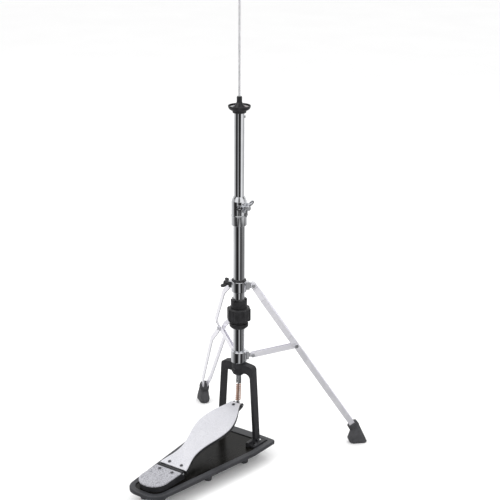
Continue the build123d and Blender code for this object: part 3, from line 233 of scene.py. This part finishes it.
def silver_board():
    """Sand-blasted, clear-coated metal: pale, with a close sparkling grain."""
    s = Surface("silver_board", metallic=0.35)
    cloud = s.noise(0.045, detail=5.0)
    grain = s.noise(0.0011, detail=3.0, stretch=(1.0, 2.4, 1.0))
    pits = s.cells(0.0016)
    tone = s.colours(grain, [(0.3, (0.50, 0.50, 0.53)), (0.72, (0.84, 0.84, 0.88))])
    wide = s.colours(cloud, [(0.3, (0.93, 0.93, 0.94)), (0.7, (1.0, 1.0, 1.0))])
    s.base(s.mixed(1.0, tone, wide, kind="MULTIPLY"))
    s.rough(s.spread(grain, 0.36, 0.52))
    s.relief(grain, 0.00018, 0.5)
    s.relief(pits, 0.00010, 0.35)
    return s.material


def speckled_plate():
    """The heel plate: a coarser blasted grip surface with dark specks between the grains."""
    s = Surface("speckled_plate", metallic=0.25)
    grain = s.cells(0.0024)
    fine = s.noise(0.0010, detail=3.0)
    specks = s.colours(grain, [(0.15, (0.62, 0.62, 0.66)), (0.55, (0.44, 0.44, 0.47)),
                               (0.8, (0.22, 0.22, 0.24))])
    bright = s.colours(fine, [(0.32, (0.72, 0.72, 0.74)), (0.7, (1.0, 1.0, 1.0))])
    s.base(s.mixed(1.0, specks, bright, kind="MULTIPLY"))
    s.rough(s.spread(fine, 0.42, 0.62))
    s.relief(grain, 0.00035, 0.6)
    s.relief(fine, 0.00010, 0.4)
    return s.material


def turned_steel():
    """Turned or drawn steel: fine rings round the rod and a satin shine."""
    s = Surface("turned_steel", metallic=1.0)
    rings = s.noise(0.0012, detail=3.0, stretch=(30.0, 30.0, 0.6))
    cloud = s.noise(0.015, detail=3.0)
    s.base(s.colours(cloud, [(0.3, (0.52, 0.52, 0.53)), (0.7, (0.66, 0.66, 0.67))]))
    s.rough(s.spread(rings, 0.20, 0.36))
    s.relief(rings, 0.00003, 0.3)
    return s.material


def dark_steel():
    """Blackened screws and brackets, worn a little brighter in places."""
    s = Surface("dark_steel", metallic=0.9)
    cloud = s.noise(0.006, detail=5.0)
    fine = s.noise(0.0007, detail=2.0)
    s.base(s.colours(cloud, [(0.35, (0.10, 0.10, 0.11)), (0.75, (0.22, 0.22, 0.23))]))
    s.rough(s.spread(cloud, 0.30, 0.45))
    s.relief(fine, 0.00004, 0.3)
    return s.material


def copper_wire():
    """The link's coil: copper-washed spring wire whose colour swings at random from dark brown to pale, a
    copper tone with painted shade for the gaps and painted highlights.
    """
    s = Surface("copper_wire", metallic=1.0)
    grain_and_painted_sheen = s.noise(0.0018, detail=4.0)
    # painted shade and painted highlights: the dark brown and pale stops stand in for the gaps between the
    # turns and their shine, scattered by the noise
    s.base(s.colours(grain_and_painted_sheen, [(0.3, (0.34, 0.16, 0.10)), (0.5, (0.62, 0.36, 0.26)),
                             (0.75, (0.88, 0.70, 0.60))]))
    s.rough(s.spread(grain_and_painted_sheen, 0.26, 0.42))
    s.relief(grain_and_painted_sheen, 0.00004, 0.3)
    return s.material


def nylon():
    """Natural nylon or felt-white washer: off-white with a faint mottle."""
    s = Surface("natural_nylon")
    mottle = s.noise(0.004, detail=4.0)
    s.base(s.colours(mottle, [(0.3, (0.24, 0.24, 0.25)), (0.7, (0.38, 0.38, 0.38))]))
    s.rough(s.spread(mottle, 0.45, 0.6))
    s.relief(mottle, 0.0001, 0.3)
    s.shader.inputs["Subsurface Weight"].default_value = 0.1
    s.shader.inputs["Subsurface Scale"].default_value = 0.002
    return s.material


looks = {
    chrome: ["yoke_bolts", "lower_tube", "clamp_body", "clamp_screw", "clamp_wing", "upper_tube",
             "lower_collar", "lower_pivot_bolts", "upper_collar", "upper_pivot_bolts", "right_leg_rivets",
             "left_leg_rivets", "hinge_pin", "seat_screw", "rod_socket", "lower_pull_rod", "socket_screw"],
    strap_chrome: ["right_leg_straps", "left_leg_straps", "right_strut", "left_strut"],
    rod_steel: ["cymbal_rod"],
    black_cast: ["yoke", "heel_block", "footboard_frame"],
    base_cast: ["base_plate"],
    gloss_panel: ["base_panel"],
    black_plastic: ["adjuster_base", "adjuster_sleeve", "tension_ring", "seat_cup", "clamp_liner",
                    "collar_liner", "collar_wing"],
    rubber: ["base_feet", "right_leg_foot", "left_leg_foot"],
    silver_board: ["footboard_plate"],
    speckled_plate: ["heel_plate"],
    turned_steel: ["rod_coupler", "spring_cap", "link_rod", "link_pin", "toe_pin", "seat_pins",
                   "adjuster_nut", "spring_seat", "return_spring", "foot_screws", "heel_bolts"],
    dark_steel: ["tube_set_screw", "toe_bracket", "heel_screws", "footboard_screws"],
    copper_wire: ["link_spring"],
    nylon: ["rod_guide", "top_bush", "seat_washer"],
}

materials = {}
for look, names in looks.items():
    materials[look] = look()
    for name in names:
        slots = nodes[name].data.materials
        slots.clear()
        slots.append(materials[look])

# ---------------------------------------------------------------- rounded edges
soft_edges = {
    "yoke": 1.6, "base_plate": 1.8, "heel_block": 0.8, "footboard_plate": 0.7, "footboard_frame": 0.7,
    "clamp_wing": 0.9, "collar_wing": 0.9, "upper_collar": 0.8, "lower_collar": 0.6, "clamp_body": 0.5,
    "tension_ring": 1.0, "adjuster_sleeve": 0.8, "adjuster_base": 0.8, "toe_bracket": 0.5,
    "right_leg_foot": 1.2, "left_leg_foot": 1.2, "base_feet": 0.9,
    "right_leg_straps": 0.6, "left_leg_straps": 0.6, "right_strut": 0.5, "left_strut": 0.5,
}
usual_edge = 0.25
narrow_edge = 0.4                                 # an edge up to this wide needs one segment less
sharp_from = 38                                   # degrees between faces, from which an edge is rounded
welded_below = 1e-6                               # metres
round_things = {"return_spring", "link_spring"}


def round_edges(node, width):
    """Joins the split corners, rounds the sharp edges and evens out the shading."""
    weld = node.modifiers.new("join", "WELD")
    weld.merge_threshold = welded_below
    if width > 0:
        bevel = node.modifiers.new("edges", "BEVEL")
        bevel.width = width * MM
        bevel.segments = 3 if width > narrow_edge else 2
        bevel.limit_method = "ANGLE"
        bevel.angle_limit = radians(sharp_from)
        bevel.use_clamp_overlap = True
    shade = node.modifiers.new("shade", "WEIGHTED_NORMAL")
    shade.keep_sharp = True
    shade.weight = 60


for name, node in nodes.items():
    round_edges(node, 0.0 if name in round_things else soft_edges.get(name, usual_edge))


def squeezed_coil(name, body):
    """A copy of a coil, attached to the given body, that stands in for the hidden original."""
    node = nodes[name]
    coil = bpy.data.objects.new(name + "_coil", node.data.copy())
    bpy.context.scene.collection.objects.link(coil)
    coil.matrix_world = node.matrix_world.copy()
    round_edges(coil, 0.0)
    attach(coil, body)
    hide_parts(name)
    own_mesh(coil)


squeezed_coil("return_spring", "stand")

# ---------------------------------------------------------------- camera
camera_data = bpy.data.cameras.new("camera")
camera_data.lens = 97.2
camera_data.sensor_width = 36.0
camera = bpy.data.objects.new("camera", camera_data)
bpy.context.scene.collection.objects.link(camera)
camera_place = Vector((1.8962, -2.5468, 1.6017))
camera_heading = radians(36.18)
camera_pitch = radians(18.39)
camera_roll = radians(0.29)
camera.matrix_world = (
    Matrix.Translation(camera_place)
    @ Matrix.Rotation(camera_heading, 4, "Z")
    @ Matrix.Rotation(pi / 2 - camera_pitch, 4, "X")
    @ Matrix.Rotation(camera_roll, 4, "Z")
)
bpy.context.scene.camera = camera


# ---------------------------------------------------------------- floor, cards and light
def plain(name, colour, roughness=0.9):
    """A flat studio surface with a faint mottle."""
    s = Surface(name)
    mottle = s.noise(0.4, detail=2.0)
    dim = tuple(c * 0.98 for c in colour)
    s.base(s.colours(mottle, [(0.3, dim), (0.7, colour)]))
    s.shader.inputs["Roughness"].default_value = roughness
    return s.material


def flat_mesh(name, corners, material):
    mesh = bpy.data.meshes.new(name)
    mesh.from_pydata(corners, [], [tuple(range(len(corners)))])
    mesh.materials.append(material)
    thing = bpy.data.objects.new(name, mesh)
    bpy.context.scene.collection.objects.link(thing)
    return thing


floor_half = 30.0
floor = flat_mesh("floor", [(-floor_half, -floor_half, 0), (floor_half, -floor_half, 0),
                            (floor_half, floor_half, 0), (-floor_half, floor_half, 0)],
                  plain("floor_paint", (0.98, 0.98, 0.98)))
floor.visible_glossy = False

lens_azimuth = -53.3                              # where the lens stands, from the tube
tent_radius = 3.0
tent_segments = 48
low_wall_z = (-0.32, -0.24)                       # here the low shades give way to the upper ones
# brightness of the tent by the angle from the lens, at the height that upright tubes mirror
tent_shades = [(-180, 0.85), (-122, 0.72), (-97, 0.46), (-84, 0.40), (-79, 0.03), (-36, 0.02), (-31, 0.42),
               (-17, 0.44), (-12, 0.03), (30, 0.015), (36, 0.70), (56, 1.0), (80, 0.70), (92, 0.34),
               (106, 0.36), (120, 0.86), (180, 0.85)]
# the same lower down, where the bottom half of the stand is mirrored
low_shades = [(-180, 0.70), (-134, 0.75), (-97, 0.56), (-71, 0.20), (-50, 0.03), (-29, 0.01), (-9, 0.05),
              (0, 0.45), (9, 0.60), (18, 0.30), (27, 0.06), (38, 0.02), (50, 0.06), (62, 0.26), (74, 0.20),
              (90, 0.12), (113, 0.36), (134, 0.50), (180, 0.70)]
# the ceiling has dark gaps between its bright cloths
ceiling_shades = [(-180, 0.95), (-120, 0.90), (-100, 0.12), (-80, 0.10), (-60, 0.95), (-20, 0.90), (-8, 0.10),
                  (8, 0.12), (22, 0.95), (70, 0.95), (84, 0.15), (104, 0.12), (120, 0.95), (180, 0.95)]


def studio_tent():
    """A round tent with dark strips in its wall, which only mirroring surfaces see."""
    s = Surface("tent_paint")
    turned = s.tree.nodes.new("ShaderNodeMapping")
    turned.inputs["Rotation"].default_value = (0.0, 0.0, -radians(lens_azimuth))
    s.tree.links.new(s.place, turned.inputs["Vector"])
    around = s.tree.nodes.new("ShaderNodeTexGradient")
    around.gradient_type = "RADIAL"
    s.tree.links.new(turned.outputs["Vector"], around.inputs["Vector"])
    walls = []
    for shades in (tent_shades, low_shades, ceiling_shades):
        walls.append(s.colours(around.outputs["Fac"], [(0.5 + d / 360, (v, v, v)) for d, v in shades]))
    upper_wall, lower_wall, gaps = walls
    split = s.tree.nodes.new("ShaderNodeSeparateXYZ")
    s.tree.links.new(s.place, split.inputs["Vector"])
    height = s.spread(split.outputs["Z"], 0.0, 1.0, start=-tent_radius, end=tent_radius)
    low_down = s.spread(split.outputs["Z"], 1.0, 0.0, start=low_wall_z[0], end=low_wall_z[1])
    strips = s.mixed(low_down, upper_wall, lower_wall)
    cloths = s.colours(height, [(0.0, (0.22, 0.22, 0.22)), (0.62, (0.5, 0.5, 0.5)),
                                (0.75, (0.95, 0.95, 0.95))])
    overhead = s.colours(height, [(0.66, (0, 0, 0)), (0.74, (1, 1, 1)), (0.93, (1, 1, 1)), (0.97, (0, 0, 0))])
    ceiling = s.mixed(overhead, cloths, gaps)
    in_wall = s.colours(height, [(0.10, (1, 1, 1)), (0.22, (0, 0, 0)), (0.60, (0, 0, 0)), (0.72, (1, 1, 1))])
    glow = s.tree.nodes.new("ShaderNodeEmission")
    s.tree.links.new(s.mixed(in_wall, strips, ceiling), glow.inputs["Color"])
    s.tree.links.new(glow.outputs["Emission"], s.tree.nodes["Material Output"].inputs["Surface"])
    s.material.cycles.emission_sampling = "NONE"
    shape = bmesh.new()
    bmesh.ops.create_uvsphere(shape, u_segments=tent_segments, v_segments=tent_segments // 2,
                              radius=tent_radius)
    mesh = bpy.data.meshes.new("tent")
    shape.to_mesh(mesh)
    shape.free()
    mesh.materials.append(s.material)
    tent = bpy.data.objects.new("tent", mesh)
    bpy.context.scene.collection.objects.link(tent)
    tent.visible_camera = False
    tent.visible_diffuse = False
    tent.visible_shadow = False
    tent.visible_transmission = False
    tent.visible_volume_scatter = False
    return tent


studio_tent()


def area_light(name, place, target, size, power):
    data = bpy.data.lights.new(name, "AREA")
    data.shape = "RECTANGLE"
    data.size, data.size_y = size
    data.energy = power
    light = bpy.data.objects.new(name, data)
    light.location = place
    light.rotation_euler = (Vector(target) - Vector(place)).to_track_quat("-Z", "Y").to_euler()
    bpy.context.scene.collection.objects.link(light)
    return light


middle = (0.0, 0.0, 0.5)
area_light("key", (-1.6, -2.6, 3.0), middle, (1.8, 1.8), 60)
area_light("fill", (2.8, -0.6, 1.8), middle, (1.2, 2.4), 24)
area_light("back", (-0.4, 2.6, 2.6), middle, (2.4, 1.0), 30)

world = bpy.data.worlds.new("studio")
world.use_nodes = True
world.node_tree.nodes["Background"].inputs["Color"].default_value = (1.0, 1.0, 1.0, 1.0)
world.node_tree.nodes["Background"].inputs["Strength"].default_value = 1.0
bpy.context.scene.world = world
bpy.context.scene.view_settings.view_transform = "Standard"
